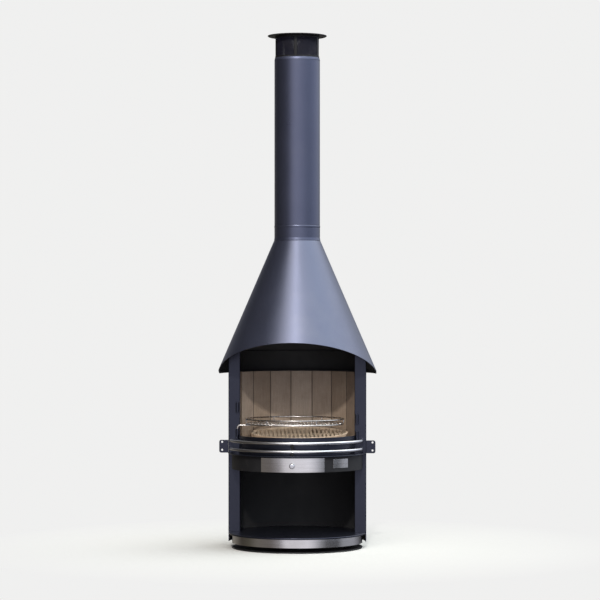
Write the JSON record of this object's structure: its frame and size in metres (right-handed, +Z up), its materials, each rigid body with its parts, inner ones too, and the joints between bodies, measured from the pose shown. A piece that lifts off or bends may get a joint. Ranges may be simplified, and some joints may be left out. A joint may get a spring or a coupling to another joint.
{
  "type": "chiminea",
  "caption": "Half-round steel garden fireplace on a turning base, with log store, ash drawer, brick-lined hearth, swing grill, conical hood and flue pipe with spark guard.",
  "frame": {"origin": "centre of the base plate's underside, on the turning axis", "axes": "+Z up, -Y to the open front, +X to the right seen from the front"},
  "size_m": [0.704, 0.6698, 2.281],
  "materials": {
    "body_paint": "satin heat-resistant paint, dark blue grey with a metallic sheen",
    "black_paint": "matt heat-resistant black paint",
    "stainless": "brushed along the length",
    "chrome": "bright plated",
    "plain_steel": "plain rolled steel",
    "chamotte": "matt fired clay, slightly sandy",
    "grate_iron": "rough casting, dusted with ash"
  },
  "bodies": {
    "base": {"base_plate": "black_paint", "turntable_lower_plate": "plain_steel", "pivot_bolt": "plain_steel"},
    "body": {"turntable_upper_plate": "plain_steel", "floor_riser": "plain_steel", "plinth_band": "stainless", "log_floor": "body_paint", "back_shell": "body_paint", "front_post_left": "body_paint", "front_post_right": "body_paint", "drawer_deck": "black_paint", "drawer_fascia": "black_paint", "drawer_runner_left": "plain_steel", "drawer_runner_right": "plain_steel", "name_plate": "stainless", "shelf_plate": "body_paint", "apron": "body_paint", "ash_chute": "black_paint", "hearth_plate": "black_paint", "hearth_slab": "chamotte", "lining_brick_1": "chamotte", "lining_brick_2": "chamotte", "lining_brick_3": "chamotte", "lining_brick_4": "chamotte", "lining_brick_5": "chamotte", "lining_brick_6": "chamotte", "lining_brick_7": "chamotte", "lining_brick_8": "chamotte", "lining_brick_9": "chamotte", "lining_retainer": "black_paint", "fire_grate": "grate_iron", "upper_rail": "chrome", "lower_rail": "chrome", "rail_post": "black_paint", "side_bracket_left": "body_paint", "side_bracket_right": "body_paint", "socket_left_lower": "body_paint", "socket_left_upper": "body_paint", "socket_right_lower": "body_paint", "socket_right_upper": "body_paint", "hood": "body_paint", "neck_collar": "body_paint", "flue_pipe": "body_paint", "cap_collar": "body_paint", "spark_guard": "black_paint", "cap_disc": "black_paint"},
    "ash_drawer": {"ash_tray": "black_paint", "drawer_front": "stainless", "drawer_knob": "chrome"},
    "swing_grill": {"grill_arm": "chrome", "grill_grid": "chrome", "grill_guard_ring": "chrome"}
  },
  "joints": [
    {"name": "body_turn", "type": "hinge", "parent": "base", "child": "body", "pos_m": [0, 0, 0.0117], "axis": [0, 0, 1], "continuous": true},
    {"name": "drawer_slide", "type": "slide", "parent": "body", "child": "ash_drawer", "axis": [0, -1, 0], "range_m": [0, 0.28]},
    {"name": "grill_swing", "type": "hinge", "parent": "body", "child": "swing_grill", "pos_m": [-0.266, -0.0118, 0.5], "axis": [0, 0, 1], "range_deg": [-110, 8]}
  ]
}
